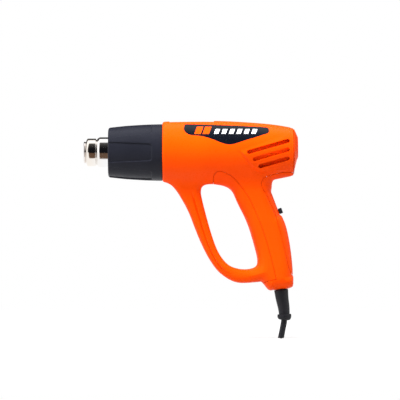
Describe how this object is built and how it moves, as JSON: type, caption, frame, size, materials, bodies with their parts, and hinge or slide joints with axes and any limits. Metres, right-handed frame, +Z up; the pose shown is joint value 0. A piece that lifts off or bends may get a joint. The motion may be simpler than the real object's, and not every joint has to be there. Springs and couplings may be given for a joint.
{
  "type": "heat gun",
  "caption": "Corded pistol heat gun with a stepped steel nozzle, fluted barrel guard, closed loop handle and a thumb slide switch.",
  "frame": {"origin": "on the nozzle axis, half way along the cylindrical seat for accessory nozzles", "axes": "-X is the blowing direction along the nozzle axis, +Z is up with the handle hanging towards -Z, Y = 0 is the parting plane of the housing"},
  "size_m": [0.2567, 0.0732, 0.2615],
  "materials": {
    "orange_plastic": "moulded, fine satin texture",
    "orange_grip": "soft-touch, satin",
    "guard_plastic": "satin glass-filled nylon",
    "nozzle_steel": "polished stainless steel, faint heat tint",
    "decal_black": "semi-gloss film",
    "black_plastic": "satin",
    "black_rubber": "matt",
    "screw_steel": "zinc plated",
    "mica_sheet": "pressed mica sheet",
    "heating_wire": "oxidised nickel-chrome wire",
    "ceramic_white": "unglazed steatite",
    "brass_parts": "plain",
    "motor_steel": "nickel plated",
    "magnet": "ferrite",
    "copper_winding": "enamelled copper",
    "carbon": "pressed carbon",
    "board_green": "solder resist",
    "film_yellow": "film capacitor case",
    "white_plastic": "natural acetal",
    "lead_brown": "wire insulation"
  },
  "bodies": {
    "root": {"nozzle_tube": "nozzle_steel", "barrel_guard": "guard_plastic", "housing_left": "orange_plastic", "housing_right": "orange_plastic", "rear_cap": "orange_plastic", "top_insert": "orange_plastic", "decal_left": "decal_black", "decal_right": "decal_black", "front_grip": "orange_grip", "rear_grip": "orange_grip", "housing_screws": "screw_steel", "mica_sleeve": "mica_sheet", "heater_former": "mica_sheet", "heating_coil": "heating_wire", "heater_base": "ceramic_white", "heater_terminals": "brass_parts", "thermal_cutout": "motor_steel", "flange_screws": "screw_steel", "fan_shroud": "black_plastic", "motor_can": "motor_steel", "motor_magnets": "magnet", "motor_bushes": "brass_parts", "motor_end_cap": "black_plastic", "motor_brushes": "carbon", "motor_screws": "screw_steel", "rectifier_board": "board_green", "rectifier_diodes": "black_plastic", "capacitor": "film_yellow", "switch_body": "black_plastic", "switch_terminals": "brass_parts", "cable_clamp": "black_plastic", "clamp_screws": "screw_steel", "cord_boot": "black_rubber", "cord_sheath": "black_rubber", "cord_cores": "lead_brown", "internal_leads": "lead_brown"},
    "rotor": {"fan_impeller": "black_plastic", "motor_shaft": "motor_steel", "armature_core": "motor_steel", "armature_windings": "copper_winding", "commutator": "brass_parts"},
    "switch": {"switch_button": "black_plastic", "switch_carriage": "white_plastic"}
  },
  "joints": [
    {"name": "fan_spin", "type": "hinge", "parent": "root", "child": "rotor", "pos_m": [0.165, 0, 0], "axis": [1, 0, 0], "continuous": true},
    {"name": "switch_slide", "type": "slide", "parent": "root", "child": "switch", "axis": [-0.356, 0, 0.9345], "range_m": [0, 0.01]}
  ]
}
